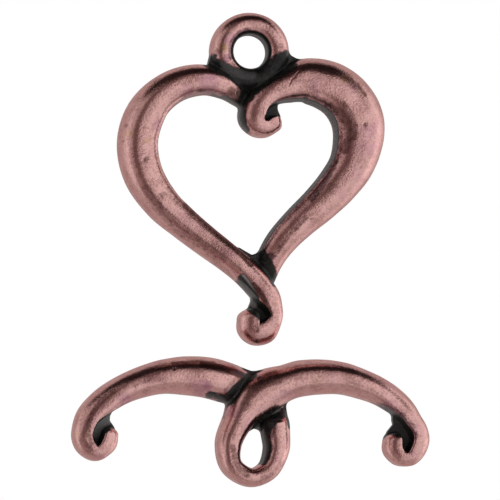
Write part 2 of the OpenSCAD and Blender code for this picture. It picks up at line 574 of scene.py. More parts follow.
@dataclass
class SurfaceNet:
    """Quads round the inside of a grid of depths."""

    values: Array
    origin: Array
    step: float

    @staticmethod
    def corner(offset: tuple[int, int, int], source: Array) -> Array:
        """Picks one corner of every cell of a grid.

        Args:
            offset: which corner.
            source: the grid.

        Returns:
            The part of the grid that holds those corners.
        """
        nx, ny, nz = source.shape
        i, j, k = offset
        return source[i : nx - 1 + i, j : ny - 1 + j, k : nz - 1 + k]

    def points(self) -> tuple[Array, Array]:
        """Finds one point in each cell that the surface crosses.

        Returns:
            The points, and the grid of their numbers with -1 where there is none.
        """
        inside = self.values < 0
        count = sum(self.corner(c, inside).astype(np.int8) for c in CORNERS)
        cells = np.argwhere((count > 0) & (count < len(CORNERS)))
        number = np.full(count.shape, -1, int)
        number[tuple(cells.T)] = np.arange(len(cells))
        depths = [self.values[tuple((cells + np.array(c)).T)] for c in CORNERS]
        total = np.zeros((len(cells), 3))
        hits = np.zeros(len(cells))
        for a, b in EDGES:
            crossed = (depths[a] < 0) != (depths[b] < 0)
            share = np.where(crossed, depths[a] / np.where(crossed, depths[a] - depths[b], 1.0), 0.0)
            start, end = np.array(CORNERS[a], float), np.array(CORNERS[b], float)
            total += crossed[:, None] * (start + share[:, None] * (end - start))
            hits += crossed
        return self.origin + self.step * (cells + total / hits[:, None]), number

    def quads(self, number: Array) -> Array:
        """Joins the points.

        Args:
            number: the grid of their numbers.

        Returns:
            The quads, facing outwards.
        """
        inside = self.values < 0
        found = []
        for axis in range(3):
            grid = np.moveaxis(inside, axis, 0)
            cells = np.moveaxis(number, axis, 0)
            start = grid[:-1, 1:-1, 1:-1]
            crossed = np.argwhere(start != grid[1:, 1:-1, 1:-1])
            i, j, k = crossed.T
            leaving = start[i, j, k]
            around = (cells[i, j, k], cells[i, j + 1, k], cells[i, j + 1, k + 1], cells[i, j, k + 1])
            faces = np.stack(around, 1)
            outward = leaving if axis != 1 else ~leaving
            found.append(np.where(outward[:, None], faces, faces[:, ::-1]))
        return np.vstack(found)


@dataclass(frozen=True)
class Rubbing:
    """How the black is rubbed off a casting, and where it is dull and carries a painted grey sheen, a painted
    reflection of the white floor that is strongest on low walls facing left.

    A band is the pair of values between which something rises from 0 to 1. Heights and depths are in
    millimetres, and the bands of upward read how much the metal faces up.
    """

    face_height: Band = (0.1, 0.4)
    crease: Band = (0.25, 0.52)
    crease_reaches: tuple[float, ...] = (0.25, 0.5, 0.9)
    hollow_side: Band = (0.2, 0.7)
    wall_upward: Band = (0.12, 0.55)
    rim_upward: Band = (0.4, 0.85)
    rim_black: float = 0.27
    level_upward: Band = (0.6, 0.9)
    low_height: Band = (0.0, 1.6)
    leftward: Band = (-0.2, 0.6)
    least_dull_and_sheen: float = 0.2
    most_dull_and_sheen: float = 0.62
    web_skin: Band = (0.0, 0.28)
    web_dull_and_sheen: float = 0.17


@dataclass
class Casting:
    """One cast piece with a flat back, modelled as a blend of its forms.

    fillet, step and back_edge are the fillet between forms, the spacing of the mesh and the rounding at the
    back. Where marks of patina, of dullness with painted grey sheen, or of stains and painted shade overlap,
    the strongest counts, and violet and straw add up.
    """

    name: str
    node: str
    forms: list[Form]
    fillet: float = 0.22
    step: float = 0.085
    back_edge: float = 0.12
    dents: Sequence[Mark] = ()
    dent_depth: float = 0.03
    scores: Sequence[Score] = ()
    patina: Sequence[Mark | Stroke] = ()
    dull: Sequence[Mark | Stroke] = ()
    stains: Sequence[Mark | Stroke] = ()
    violet: Sequence[Mark | Stroke] = ()
    straw: Sequence[Mark | Stroke] = ()
    rubbing: Rubbing = Rubbing()

    def blend(self, values: list[Array], points: Array) -> Array:
        """Joins the forms.

        Args:
            values: the depths in each form.
            points: the places in millimetres, not used here.

        Returns:
            The depths in all of them joined.
        """
        joined = values[0]
        for value in values[1:]:
            joined = smooth_min(joined, value, self.fillet)
        return joined

    def cut(self, value: Array, points: Array) -> Array:
        """Returns the depths after holes are cut. A plain casting has none."""
        return value

    def relief(self, points: Array) -> Array:
        """Works out the dents and scores in the face.

        Args:
            points: places seen from above.

        Returns:
            How far the face lies below the plain forms there.
        """
        sunk = np.zeros(len(points))
        for dent in self.dents:
            sunk += self.dent_depth * dent.cover(points)
        for score in self.scores:
            sunk += score.depth * score.cover(points)
        return sunk

    def depth(self, plans: list[Plan], points: Array, relief: Array) -> Array:
        """Depths of points in the finished casting.

        Args:
            plans: one plan of the points for each form.
            points: the places in millimetres.
            relief: what relief() says of them.

        Returns:
            The depths, negative inside.
        """
        z = points[:, 2]
        values = [form.depth(plan, z) for form, plan in zip(self.forms, plans)]
        value = self.cut(self.blend(values, points), points)
        swell = SWELL_DEPTH * waves(points, SWELL_LENGTH) * smoothstep(*SWELL_RISE, z)
        value = value + relief * smoothstep(*RELIEF_RISE, z) + swell
        return smooth_max(value, -z, self.back_edge)

    def plans(self, points: Array, hints: list[Plan] | None = None) -> list[Plan]:
        """Returns one plan for each form, quicker where hints give the samples nearby."""
        hints = hints or [Plan(points)] * len(self.forms)
        return [form.plan(points, hint.near) for form, hint in zip(self.forms, hints)]

    def probe(self, points: Array, hints: list[Plan]) -> Array:
        """Returns the depths of free points near the hinted ones."""
        flat = points[:, :2]
        return self.depth(self.plans(flat, hints), points, self.relief(flat))

    def gradient(self, points: Array, hints: list[Plan]) -> tuple[Array, Array]:
        """Slope of the depths, from four probes round each point.

        Args:
            points: the places in millimetres.
            hints: plans of points nearby.

        Returns:
            The depths and their gradients.
        """
        depths = [self.probe(points + PROBE_REACH * way, hints) for way in PROBES]
        slope = sum(depth[:, None] * way for depth, way in zip(depths, PROBES)) / (len(PROBES) * PROBE_REACH)
        return sum(depths) / len(PROBES), slope

    def sample(self) -> SurfaceNet:
        """Samples the depths on a regular grid round the casting.

        Returns:
            The grid.
        """
        low, high = (np.array(corner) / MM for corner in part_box(self.node))
        origin = np.floor((low - GRID_MARGIN) / self.step) * self.step
        origin[2] = -LAYERS_BELOW * self.step
        counts = np.ceil((high + GRID_MARGIN - origin) / self.step).astype(int) + 1
        x, y, z = (origin[axis] + self.step * np.arange(counts[axis]) for axis in range(3))
        columns = np.stack(np.meshgrid(x, y, indexing="ij"), -1).reshape(-1, 2)
        plans = self.plans(columns)
        trial = np.column_stack([columns, np.full(len(columns), TRIAL_HEIGHT)])
        near = self.depth(plans, trial, np.zeros(len(columns))) < TRIAL_DEPTH
        columns = columns[near]
        plans = [plan.only(near) for plan in plans]
        relief = self.relief(columns)
        values = np.full((len(near), len(z)), OPEN_AIR)
        for level, height in enumerate(z):
            points = np.column_stack([columns, np.full(len(columns), height)])
            values[near, level] = self.depth(plans, points, relief)
        return SurfaceNet(values.reshape(len(x), len(y), len(z)), origin, self.step)

    def surface(self) -> tuple[Array, Array, Array, list[Plan]]:
        """Finds the casting's surface.

        Returns:
            Its points in millimetres, its quads, the normals at the points, and their plans.
        """
        net = self.sample()
        points, number = net.points()
        quads = net.quads(number)
        hints = self.plans(points[:, :2])
        for _ in range(SETTLE_ROUNDS):
            value, slope = self.gradient(points, hints)
            move = value[:, None] * slope / np.maximum((slope**2).sum(1), LEAST_SQUARED_SLOPE)[:, None]
            length = np.linalg.norm(move, axis=1, keepdims=True)
            points = points - move * np.minimum(1.0, LONGEST_MOVE / np.maximum(length, LEAST_LENGTH))
        _, slope = self.gradient(points, hints)
        normals = slope / np.linalg.norm(slope, axis=1, keepdims=True)
        return points, quads, normals, hints

    def closeness(self, points: Array, normals: Array) -> Array:
        """Works out how hemmed in each point is by metal nearby.

        Args:
            points: the surface in millimetres.
            normals: its normals.

        Returns:
            A value for each point, from 0 in the open to about 1.
        """
        total = np.zeros(len(points))
        for reach in self.rubbing.crease_reaches:
            away = points + normals * reach
            free = self.probe(away, self.plans(away[:, :2]))
            total += np.clip(1.0 - free / reach, 0.0, 1.0) / len(self.rubbing.crease_reaches)
        return total

    def hollows(self, points: Array, plans: list[Plan]) -> Array:
        """Works out how black the sides that face a hole stay, where the wheel can't reach.

        Args:
            points: the surface in millimetres.
            plans: its plans.

        Returns:
            A value for each point, from 0 to 1.
        """
        best = np.full(len(points), np.inf)
        share = np.zeros(len(points))
        for form, plan in zip(self.forms, plans):
            if plan.side is None:
                continue
            value = form.depth(plan, points[:, 2])
            closer = value < best
            best = np.where(closer, value, best)
            facing = smoothstep(*self.rubbing.hollow_side, plan.side / plan.half)
            share = np.where(closer, np.maximum(form.sooted, plan.curl) * facing, share)
        return share

    def masks(self, points: Array, normals: Array, plans: list[Plan]) -> dict[str, Array]:
        """Works out what the finish reads at each point.

        Args:
            points: the surface in millimetres.
            normals: its normals.
            plans: its plans.

        Returns:
            Values between 0 and 1 under the names that the finish knows.
        """
        rub = self.rubbing
        flat, height, upward = points[:, :2], points[:, 2], normals[:, 2]
        face = smoothstep(*rub.face_height, height)
        level = smoothstep(*rub.level_upward, upward)
        crease = smoothstep(*rub.crease, self.closeness(points, normals))
        hollows = self.hollows(points, plans)
        walls = hollows * (1.0 - smoothstep(*rub.wall_upward, upward))
        rims = rub.rim_black * hollows * (1.0 - smoothstep(*rub.rim_upward, upward))
        dark = np.maximum(crease, np.maximum(walls, rims)) * face
        low = 1.0 - smoothstep(*rub.low_height, height)
        # Painted reflection: a grey sheen on low walls that face the hollow, strongest where they face left,
        # for the white floor they would mirror; the same mask makes the black rougher
        dull = walls * low * mix(rub.least_dull_and_sheen, rub.most_dull_and_sheen, smoothstep(*rub.leftward, -normals[:, 0]))
        for form, plan in zip(self.forms, plans):
            if isinstance(form, Web):
                skin = 1.0 - smoothstep(*rub.web_skin, form.depth(plan, height))
                dark = np.maximum(dark, skin)
                # Painted reflection: a grey sheen on web floors that face up
                dull = np.maximum(dull, rub.web_dull_and_sheen * skin * level)
        for mark in self.patina:
            dark = np.maximum(dark, mark.cover(flat) * face)
        # Brown marks: real stains in dents and the groove, and painted shade that deepens the dark bands on
        # the strands
        stain = np.zeros(len(points))
        for mark in self.stains:
            stain = np.maximum(stain, mark.cover(flat))
        for score in self.scores:
            stain = np.maximum(stain, score.stain * score.cover(flat))
        tints = {}
        for name, marks in (("violet", self.violet), ("straw", self.straw)):
            tints[name] = sum((mark.cover(flat) for mark in marks), np.zeros(len(points)))
        # Marked patches of painted grey sheen on low or level black
        for mark in self.dull:
            dull = np.maximum(dull, mark.cover(flat) * np.maximum(low, level))
        return {"patina": dark, "dull": dull, "stain": stain * face, **tints}

    def build(self, finish: "AntiqueCopper") -> bpy.types.Object:
        """Makes the casting's object, dressed and riding on its body.

        Args:
            finish: the finish that covers it.

        Returns:
            The object.
        """
        points, quads, normals, plans = self.surface()
        mesh = bpy.data.meshes.new(self.name)
        mesh.from_pydata((points * MM).tolist(), [], quads.tolist())
        mesh.shade_smooth()
        mesh.normals_split_custom_set_from_vertices(normals.tolist())
        for name, values in self.masks(points, normals, plans).items():
            layer = mesh.attributes.new(name, "FLOAT", "POINT")
            layer.data.foreach_set("value", np.clip(values, 0.0, 1.0).astype(np.float32))
        mesh.materials.append(finish.material())
        made = bpy.data.objects.new(self.name, mesh)
        bpy.context.scene.collection.objects.link(made)
        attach(made, "root")
        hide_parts(self.node)
        log.info("%s: %d points, %d quads", self.name, len(points), len(quads))
        return made


# Heart with its eyelet

# From under the scroll round the left lobe, down the diagonal and into the tail curl
HEART_LEFT: list[Row] = [
    (0.2, 9.65, 1.2, 1.3), (-0.7, 10.25, 1.4, 1.8), (-1.7, 10.86, 1.62, 2.5), (-3.15, 11.31, 2.02, 2.8),
    (-4.85, 11.0, 2.25, 2.8), (-6.28, 10.03, 2.46, 2.8), (-7.18, 8.65, 2.69, 2.8), (-7.55, 6.85, 2.7, 2.8),
    (-7.12, 4.88, 2.6, 2.8), (-5.92, 3.07, 2.35, 2.7), (-4.42, 1.72, 2.12, 2.6), (-2.95, 0.55, 1.96, 2.6),
    (-1.55, -0.5, 1.82, 2.7), (-0.4, -1.45, 1.76, 2.7), (0.55, -2.45, 1.74, 2.7), (1.15, -3.25, 1.65, 2.7),
    (1.46, -3.9, 1.24, 2.6), (1.56, -4.5, 1.0, 2.6), (1.31, -5.06, 1.26, 2.5), (0.93, -5.46, 1.63, 2.5),
    (0.35, -5.62, 1.5, 2.5), (-0.1, -5.25, 1.5, 2.5), (-0.14, -4.6, 1.42, 2.5),
]
# From the tip of the scroll round the right lobe, down to its end under the left strand
HEART_RIGHT: list[Row] = [
    (1.52, 8.38, 1.12, 2.5), (1.0, 8.08, 1.14, 2.6), (0.42, 8.2, 1.32, 2.7), (0.08, 8.75, 1.75, 2.8),
    (0.2, 9.45, 1.8, 2.8), (0.7, 10.1, 1.75, 2.8), (1.45, 10.55, 1.85, 2.8), (2.4, 10.98, 2.33, 2.8),
    (3.65, 11.34, 3.0, 2.8), (5.1, 11.08, 3.33, 2.8), (6.3, 10.34, 3.45, 2.8), (7.13, 9.12, 3.53, 2.8),
    (7.33, 7.7, 3.42, 2.8), (6.91, 5.91, 3.06, 2.8), (6.02, 4.53, 2.81, 2.7), (4.8, 3.2, 2.55, 2.6),
    (3.25, 1.8, 2.25, 2.5), (2.05, 0.5, 2.05, 2.3), (1.3, -0.75, 1.85, 1.8), (0.9, -1.8, 1.7, 1.25),
]

# Black creases that also carry the dull, painted grey sheen: beside the scroll, and above the tail where the
# strands cross
SCROLL_CREASE = Stroke([(-2.6, 10.15), (-1.75, 9.9), (-1.0, 9.5)], 0.22, 0.8)
TAIL_CREASE = Stroke([(-0.75, -1.95), (-0.45, -2.35), (-0.15, -2.8), (0.12, -3.25), (0.2, -3.7)], 0.24)


@dataclass
class HeartRing(Casting):
    """Heart-shaped ring: two strands, webs in its creases and an eyelet at its top."""

    eyelet: Eyelet = field(default_factory=Eyelet)
    bore_edge: float = 0.08

    def cut(self, value: Array, points: Array) -> Array:
        """Returns the depths after the eyelet's hole is cut."""
        out = np.hypot(points[:, 0] - self.eyelet.centre[0], points[:, 1] - self.eyelet.centre[1])
        return smooth_max(value, self.eyelet.bore - out, self.bore_edge)

    @classmethod
    def designed(cls) -> "HeartRing":
        """Makes the heart ring with its own sizes and marks.

        Returns:
            The heart ring.
        """
        eyelet = Eyelet()
        return cls(
            name="heart_ring_casting",
            node="heart_ring",
            eyelet=eyelet,
            forms=[
                Strand(HEART_LEFT, Hollow.LEFT, turn_row=13.0, curl_start=17.0, sooted=0.34),
                Strand(HEART_RIGHT, Hollow.RIGHT, curl_end=3.5, outer_flank=BROAD_FLANK),
                eyelet,
                Web(
                    [(-2.75, 12.75), (-2.9, 12.2), (-1.4, 10.8), (0.1, 10.1), (1.2, 10.7), (3.3, 12.65),
                     (2.75, 12.95), (0.0, 15.0)],
                    thickness=1.3,
                ),
                Web(
                    [(0.6, 8.35), (0.9, 9.9), (1.8, 9.95), (1.85, 9.35), (2.05, 8.9), (1.9, 8.5), (1.5, 8.2)],
                    thickness=0.9,
                ),
                Web([(-0.85, 0.15), (0.05, -0.35), (0.85, -0.1), (0.9, -1.5), (-0.4, -1.0)], thickness=1.3),
                Web([(0.1, -3.3), (1.2, -3.3), (1.3, -4.9), (-0.1, -5.1), (-0.2, -4.1)], thickness=0.9),
            ],
            dents=[
                Mark(-8.47, 8.13, 0.14, 0.4, 1.6, 60.0), Mark(-7.2, 5.93, 0.2, 0.5, 1.8, 40.0),
                Mark(-5.95, 3.6, 0.2, 0.4, 1.8, -30.0), Mark(7.45, 8.3, 0.16, 0.5, 1.5, 70.0),
                Mark(7.2, 5.45, 0.15, 0.3, 1.6, 50.0),
            ],
            scores=[
                Score(
                    [(3.0, 11.8), (2.8, 11.6), (2.75, 11.4), (2.55, 11.3), (2.4, 10.95)],
                    width=0.045,
                    depth=0.02,
                    stain=0.8,
                ),
            ],
            patina=[
                # Valley under the eyelet, and round its hole
                Stroke(
                    [(-2.85, 12.4), (-2.1, 12.0), (-1.3, 11.6), (0.0, 11.4), (1.4, 12.0), (2.45, 12.5)],
                    0.45,
                ),
                Stroke([(-2.6, 12.1), (-1.6, 11.7), (-0.5, 10.95), (0.05, 10.6)], 0.38),
                Stroke([(0.05, 10.7), (1.0, 11.35), (2.0, 11.95), (2.6, 12.3)], 0.36),
                Stroke([(0.9, 12.2), (1.4, 12.5), (1.9, 12.8), (2.3, 12.95)], 0.34, 0.7),
                Stroke([(-0.3, 14.55), (-0.95, 14.25), (-1.4, 13.6), (-1.45, 12.8)], 0.25, 0.3),
                Stroke(ring(EYELET_CENTRE, EYELET_BORE), 0.2),
                Mark(-2.5, 12.85, 0.16, 0.7),
                Mark(2.1, 12.95, 0.15, 0.8),
                # Between the scroll and the left strand
                Stroke([(-0.05, 10.65), (-0.5, 10.0), (-0.88, 9.4)], 0.3),
                Stroke([(-1.95, 10.05), (-1.45, 9.85), (-1.05, 9.45)], 0.2, 0.8),
                Stroke([(-0.95, 9.7), (-0.78, 9.25), (-0.77, 8.75), (-0.66, 8.2), (-0.45, 7.85)], 0.25),
                Stroke([(-0.45, 7.85), (-0.1, 7.6)], 0.14, 0.6),
                Mark(-0.32, 10.1, 0.38, 0.9),
                SCROLL_CREASE,
                # Inner edges of the lobes
                Stroke([(-3.5, 10.3), (-2.3, 10.15), (-1.4, 9.85), (-0.8, 9.55)], 0.3, 0.34),
                Stroke([(1.9, 9.7), (2.7, 10.05), (3.6, 10.05), (4.6, 9.75), (5.4, 9.2)], 0.3, 0.27),
                Stroke([(5.55, 6.3), (5.3, 5.5), (4.95, 4.8), (4.5, 4.1), (3.9, 3.4)], 0.26, 0.36),
                # Crossing of the strands, and the tail
                Mark(1.2, -0.5, 0.3, 0.45),
                Stroke([(0.5, -0.3), (0.85, -0.8), (1.3, -1.6), (1.55, -2.1)], 0.4),
                TAIL_CREASE,
                Stroke([(-0.15, -4.06), (0.15, -4.28), (0.45, -4.55)], 0.19, 0.9),
            ],
            # Patches of painted grey sheen on the black, where low walls and recess floors would mirror the
            # white floor
            dull=[
                Stroke([(-0.8, 9.0), (-0.77, 8.7), (-0.66, 8.2), (-0.45, 7.85)], 0.25),
                Stroke([(-2.3, 12.35), (-1.5, 11.95), (-0.7, 11.65), (-0.1, 11.6)], 0.35, 0.2),
                SCROLL_CREASE,
                TAIL_CREASE,
            ],
            # Brown marks: stains in the dents, and painted shade over the dark bands of the strands
            stains=[
                # Eyelet and valley
                Mark(-1.45, 10.5, 0.35, 0.6),
                Mark(1.9, 13.5, 0.3, 0.4),
                Mark(-2.35, 13.1, 0.3, 0.5),
                # Left strand
                Stroke([(-6.3, 11.15), (-6.9, 10.6), (-7.15, 10.1)], 0.24, 0.4),
                Stroke([(-5.7, 4.0), (-5.0, 3.2), (-4.2, 2.5)], 0.15, 0.5),
                Stroke([(-4.6, 2.85), (-2.8, 1.35), (-1.8, 0.5), (-0.85, -0.35), (-0.2, -1.05)], 0.23, 0.7),
                Stroke([(-7.2, 3.9), (-6.5, 2.8), (-4.9, 1.2), (-3.2, 0.1), (-2.1, -0.8)], 0.34, 0.42),
                Stroke([(-2.6, -0.9), (-1.8, -1.5), (-1.2, -2.1)], 0.2, 0.4),
                Mark(-8.47, 8.13, 0.13, 0.5, 1.6, 60.0),
                Mark(-8.67, 7.07, 0.1, 0.4, 1.5, 90.0),
                Mark(-7.2, 5.93, 0.18, 0.5, 1.8, 40.0),
                Mark(-5.95, 3.6, 0.17, 0.5, 1.8, -30.0),
                Mark(-6.2, 3.4, 0.22, 0.5, 1.6, -45.0),
                # Tail
                Stroke([(0.0, -2.4), (0.45, -2.95), (0.72, -3.4), (1.0, -3.95), (1.15, -4.4)], 0.2, 0.7),
                Stroke([(0.2, -4.75), (0.2, -5.1), (0.3, -5.5)], 0.13, 0.55),
                # Right strand
                Stroke([(6.3, 11.45), (7.0, 10.95), (7.5, 10.3)], 0.16, 0.6),
                Stroke([(6.0, 9.7), (6.5, 9.0), (6.8, 8.2), (6.75, 7.4)], 0.22, 0.55),
                Stroke([(5.1, 9.5), (5.9, 9.0), (6.3, 8.3), (6.35, 7.4), (6.1, 6.6)], 0.34, 0.6),
                Stroke([(6.0, 5.2), (5.4, 4.3), (4.6, 3.2)], 0.3, 0.4),
                Stroke([(3.5, 2.1), (3.2, 1.75), (2.4, 0.9), (1.9, 0.2), (1.4, -0.5)], 0.18, 0.5),
                Mark(7.45, 8.3, 0.15, 0.55, 1.5, 70.0),
                Mark(7.2, 5.45, 0.12, 0.45, 1.6, 50.0),
                Mark(3.9, 2.0, 0.12, 0.4, 1.8, 30.0),
            ],
            violet=[
                Mark(-1.5, 13.9, 0.7, 0.7), Mark(-1.7, 12.7, 0.4, 0.8), Mark(-3.0, 11.0, 0.9, 0.7),
                Mark(-4.6, 10.4, 0.7, 0.6), Mark(-6.4, 8.1, 0.5, 0.6), Mark(-6.9, 6.6, 0.5, 0.5),
                Mark(6.6, 10.6, 0.5, 0.6), Mark(7.8, 7.9, 0.7, 0.6), Mark(1.9, 9.8, 0.5, 0.6),
                Mark(3.2, 2.6, 0.6, 0.6),
            ],
            straw=[
                Mark(-1.95, 13.4, 0.35, 0.9), Mark(-7.1, 7.1, 0.4, 0.6), Mark(-8.3, 7.6, 0.35, 0.7),
                Mark(-6.0, 5.0, 0.4, 0.5), Mark(6.1, 11.3, 0.5, 0.6), Mark(-0.6, 1.4, 0.4, 0.4),
            ],
        )


# Toggle bar with its loop

# From the tip of the right curl along the right arc and once round the loop
BAR_RIGHT: list[Row] = [
    (9.52, -12.73, 1.16, 2.4), (9.53, -13.28, 1.2, 2.4), (9.9, -13.8, 1.03, 2.4), (10.36, -13.91, 1.0, 2.4),
    (10.75, -13.81, 1.08, 2.4), (11.11, -13.34, 1.2, 2.45), (11.32, -12.65, 1.25, 2.5),
    (11.2, -12.0, 1.25, 2.5), (10.8, -11.35, 1.3, 2.55), (10.35, -10.7, 1.44, 2.6),
    (9.71, -10.09, 1.63, 2.6), (8.67, -9.42, 1.79, 2.7), (7.46, -8.93, 1.96, 2.8), (6.15, -8.55, 2.15, 2.8),
    (4.8, -8.45, 2.35, 2.8), (3.45, -8.55, 2.45, 2.8), (2.37, -8.86, 2.48, 2.8), (1.25, -9.32, 2.92, 2.8),
    (0.0, -10.16, 3.12, 2.8), (-0.83, -11.38, 2.08, 2.8), (-1.47, -12.9, 1.73, 2.7),
    (-1.28, -14.4, 1.38, 2.6), (0.0, -15.16, 1.3, 2.5), (1.17, -14.62, 1.42, 2.5), (1.72, -13.3, 1.7, 2.5),
    (1.68, -12.05, 1.92, 2.5), (1.6, -11.42, 1.94, 2.45), (1.5, -10.85, 1.95, 1.5), (1.2, -9.9, 1.85, 1.0),
]
# From under the loop along the left arc into the left curl
BAR_LEFT: list[Row] = [
    (-0.2, -9.27, 2.42, 1.7), (-1.47, -8.89, 2.72, 2.6), (-2.85, -8.52, 2.74, 2.8), (-4.35, -8.4, 2.6, 2.8),
    (-5.85, -8.48, 2.3, 2.8), (-7.25, -8.84, 2.1, 2.7), (-8.55, -9.37, 1.95, 2.7),
    (-9.79, -10.13, 1.84, 2.6), (-10.84, -11.08, 1.54, 2.5), (-11.25, -12.2, 1.35, 2.5),
    (-11.15, -12.9, 1.3, 2.4), (-10.78, -13.38, 1.15, 2.4), (-10.3, -13.57, 1.07, 2.4),
    (-9.9, -13.36, 1.06, 2.4), (-9.56, -12.95, 1.16, 2.4), (-9.41, -12.37, 1.04, 2.4),
]
# The row at the foot of the loop, where the right strand is modelled as two forms
LOOP_FOOT_ROW = 22


@dataclass
class ToggleBar(Casting):
    """Bar of two arcs with curled ends, whose right strand makes the loop in the middle."""

    foot_fillet: float = 0.005
    foot_reach: Band = (1.6, 2.8)

    def blend(self, values: list[Array], points: Array) -> Array:
        """Joins the forms. The loop's two runs meet almost without a fillet at its foot.

        Args:
            values: the depths in each form.
            points: the places in millimetres.

        Returns:
            The depths in all of them joined.
        """
        foot = BAR_RIGHT[LOOP_FOOT_ROW]
        away = np.hypot(points[:, 0] - foot[0], points[:, 1] - foot[1])
        fillet = self.foot_fillet + self.fillet * smoothstep(*self.foot_reach, away)
        joined = smooth_min(values[0], values[1], fillet)
        for value in values[2:]:
            joined = smooth_min(joined, value, self.fillet)
        return joined

    @classmethod
    def designed(cls) -> "ToggleBar":
        """Makes the toggle bar with its own sizes and marks.

        Returns:
            The toggle bar.
        """
        return cls(
            name="toggle_bar_casting",
            node="toggle_bar",
            forms=[
                Strand(
                    BAR_RIGHT,
                    Hollow.LEFT,
                    curl_end=9.0,
                    sooted=0.0,
                    last=LOOP_FOOT_ROW,
                    hollow_flank=PLAIN_FLANK,
                ),
                Strand(BAR_RIGHT, Hollow.LEFT, sooted=0.0, first=LOOP_FOOT_ROW, hollow_flank=PLAIN_FLANK),
                Strand(BAR_LEFT, Hollow.LEFT, curl_start=8.5, sooted=0.0, hollow_flank=PLAIN_FLANK),
                Web(
                    [(-9.35, -10.9), (-10.4, -11.2), (-11.0, -13.0), (-10.0, -13.4), (-9.05, -12.3),
                     (-9.1, -11.85), (-9.4, -11.4)],
                    thickness=0.9,
                ),
                Web(
                    [(9.6, -10.8), (10.4, -11.0), (11.0, -13.3), (10.0, -13.7), (9.1, -12.4), (9.25, -12.05),
                     (9.62, -11.6), (9.55, -11.3)],
                    thickness=0.9,
                ),
                Web(
                    [(0.8, -9.8), (2.4, -10.0), (2.3, -12.0), (1.0, -12.1), (0.3, -11.9), (-0.3, -12.1),
                     (-0.5, -11.0)],
                    thickness=0.9,
                ),
                Web([(-0.5, -8.0), (0.1, -8.12), (0.6, -8.1), (0.8, -9.0), (-0.7, -9.0)], thickness=1.3),
            ],
            dents=[Mark(-5.3, -8.0, 0.1)],
            patina=[
                # Where the arcs meet over the loop, and under the left arc beside it
                Stroke([(0.05, -8.32), (-0.52, -8.77), (-1.05, -9.22), (-1.6, -9.8), (-2.05, -10.2)], 0.27),
                Stroke([(-1.1, -8.2), (-0.45, -8.45)], 0.2, 0.42),
                Mark(0.45, -8.65, 0.25, 0.4),
                Stroke([(-2.9, -9.7), (-2.2, -9.82), (-1.75, -9.98)], 0.22, 0.6),
                Stroke([(-1.6, -10.1), (-1.74, -10.6), (-1.93, -11.2)], 0.11, 0.5),
                # Right side of the loop
                Stroke([(0.7, -11.85), (1.35, -11.3), (1.9, -11.0), (2.25, -10.8)], 0.3),
                Stroke([(2.3, -10.4), (2.4, -11.2), (2.5, -11.8)], 0.16, 0.8),
                Stroke([(1.6, -11.2), (1.15, -11.75), (0.92, -12.3), (0.98, -12.9), (1.05, -13.4)], 0.21),
                Stroke([(1.45, -11.8), (1.2, -12.3), (1.15, -12.8), (1.2, -13.3)], 0.18, 0.3),
                Stroke([(1.05, -13.0), (1.0, -13.5), (0.93, -13.9), (0.7, -14.2)], 0.19, 0.8),
                # Curls
                Stroke([(-9.85, -12.1), (-9.5, -11.78), (-9.15, -11.78), (-8.95, -11.98)], 0.18),
                Stroke([(9.3, -12.15), (9.6, -12.18), (9.85, -12.35)], 0.17),
                Stroke(
                    [(8.75, -10.5), (9.6, -10.85), (10.1, -11.15), (10.6, -11.65), (10.85, -12.4)],
                    0.24,
                    0.28,
                ),
            ],
            # Patches of painted grey sheen on the black, where low walls and recess floors would mirror the
            # white floor
            dull=[
                Stroke([(0.5, -12.0), (0.55, -12.6), (0.58, -13.4)], 0.22),
                Stroke([(-9.6, -11.3), (-10.1, -11.6), (-10.4, -12.2)], 0.4, 0.75),
                Stroke([(10.2, -11.5), (10.6, -12.1), (10.55, -12.9)], 0.2, 0.3),
                Mark(1.75, -10.95, 0.4, 0.4),
            ],
            # Brown marks: a stain in the dent, and painted shade over the dark bands of the arcs and the loop
            stains=[
                # Left arc and curl
                Mark(-5.3, -8.0, 0.12, 0.8),
                Stroke(
                    [(-9.3, -9.5), (-10.1, -10.1), (-10.65, -10.85), (-10.95, -11.6), (-11.0, -12.3),
                     (-10.75, -12.9)],
                    0.2,
                    0.5,
                ),
                Stroke([(-8.3, -9.2), (-7.6, -8.95), (-6.9, -8.75)], 0.18, 0.4),
                Stroke([(-5.4, -7.65), (-3.8, -7.5), (-2.6, -7.6)], 0.13, 0.6),
                Stroke([(-3.4, -7.7), (-2.2, -7.9), (-1.4, -8.2), (-0.75, -8.45)], 0.24, 0.9),
                Stroke([(-0.95, -8.6), (-1.3, -9.0), (-1.75, -9.5)], 0.3, 0.5),
                # Right arc and loop
                Stroke([(1.2, -8.35), (2.0, -8.1), (3.1, -7.8)], 0.24, 0.35),
                Stroke([(0.8, -8.5), (1.5, -8.25)], 0.24, 0.6),
                Stroke([(1.6, -8.75), (0.8, -8.95), (0.2, -9.2), (-0.3, -9.8), (-0.65, -10.5)], 0.36, 0.5),
                Stroke([(-0.65, -10.5), (-0.95, -11.2), (-1.25, -12.2), (-1.45, -13.0)], 0.15, 0.32),
                Stroke([(-1.4, -13.2), (-1.2, -14.1), (-0.9, -14.7), (-0.4, -15.05)], 0.24, 0.55),
                Stroke([(0.6, -15.2), (1.3, -14.9), (1.9, -14.3)], 0.2, 0.4),
            ],
            violet=[
                Mark(-3.4, -9.3, 0.8, 0.7), Mark(-1.3, -10.8, 0.6, 0.7), Mark(-8.6, -10.0, 0.7, 0.6),
                Mark(9.2, -10.4, 0.7, 0.6), Mark(10.6, -13.5, 0.4, 0.6), Mark(2.2, -9.7, 0.6, 0.5),
            ],
            straw=[Mark(-11.75, -12.4, 0.35, 0.6), Mark(-11.3, -11.0, 0.4, 0.5), Mark(4.2, -8.6, 0.5, 0.4)],
        )


